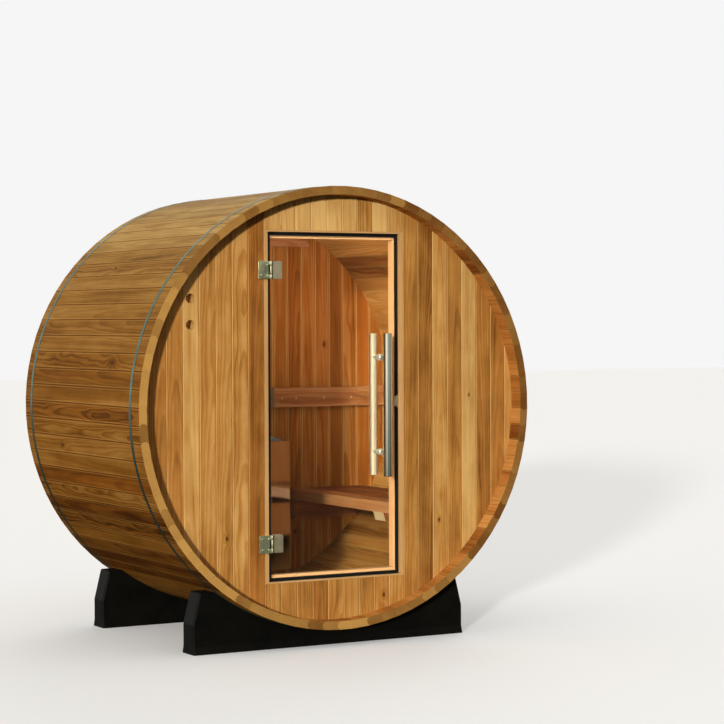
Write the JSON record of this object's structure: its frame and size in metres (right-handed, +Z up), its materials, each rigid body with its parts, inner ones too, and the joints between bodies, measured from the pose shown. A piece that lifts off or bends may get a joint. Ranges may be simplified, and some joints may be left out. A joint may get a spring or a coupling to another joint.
{
  "type": "barrel sauna",
  "caption": "Cedar barrel sauna cabin on two black cradles, with steel bands, an inset front wall with a clear glass door, benches and a wall heater.",
  "frame": {"origin": "on the ground under the middle of the whole object", "axes": "+X to the right seen from the front, +Y from the glass door towards the rear wall along the barrel, +Z up"},
  "size_m": [1.831, 1.2192, 1.9005],
  "materials": {
    "stave_cedar": "oiled cedar, weathered to light brown",
    "front_cedar": "clear oiled cedar, honey coloured, boards of mixed tone",
    "rear_cedar": "bare red cedar",
    "trim_cedar": "planed pale cedar",
    "bench_cedar": "planed red cedar",
    "black_rubber": "matt black",
    "clear_glass": "clear toughened pane",
    "hinge_steel": "satin",
    "handle_chrome": "polished",
    "band_steel": "mill finish, dull grey",
    "cradle_plastic": "moulded black, fine grain",
    "heater_steel": "polished front",
    "heater_stone": "rough grey rock"
  },
  "bodies": {
    "cabin": {"staves_01": "stave_cedar", "staves_02": "stave_cedar", "staves_03": "stave_cedar", "staves_04": "stave_cedar", "staves_05": "stave_cedar", "staves_06": "stave_cedar", "staves_07": "stave_cedar", "staves_08": "stave_cedar", "staves_09": "stave_cedar", "staves_10": "stave_cedar", "front_wall_left": "front_cedar", "front_wall_right": "front_cedar", "front_wall_over_door": "front_cedar", "front_wall_under_door": "front_cedar", "vent_board": "front_cedar", "rear_wall_left": "rear_cedar", "rear_wall_right": "rear_cedar", "door_jambs": "trim_cedar", "door_head": "trim_cedar", "door_sill": "trim_cedar", "door_stops": "trim_cedar", "bench_slats_right": "bench_cedar", "bench_slats_left": "bench_cedar", "bench_supports_right": "bench_cedar", "bench_supports_left": "bench_cedar", "rear_battens": "bench_cedar", "door_jamb_seal": "black_rubber", "hinge_wall_leaves": "hinge_steel", "band_front": "band_steel", "band_rear": "band_steel", "cradle_front": "cradle_plastic", "cradle_rear": "cradle_plastic", "heater_case": "heater_steel", "heater_stones": "heater_stone"},
    "door": {"door_glass": "clear_glass", "door_edge_seal": "black_rubber", "hinge_glass_leaves": "hinge_steel", "handle_outside": "handle_chrome", "handle_inside": "handle_chrome", "door_catch": "hinge_steel"}
  },
  "joints": [
    {"name": "door_hinge", "type": "hinge", "parent": "cabin", "child": "door", "pos_m": [-0.2957, -0.5466, 0.985], "axis": [0, 0, -1], "range_deg": [0, 110]}
  ]
}
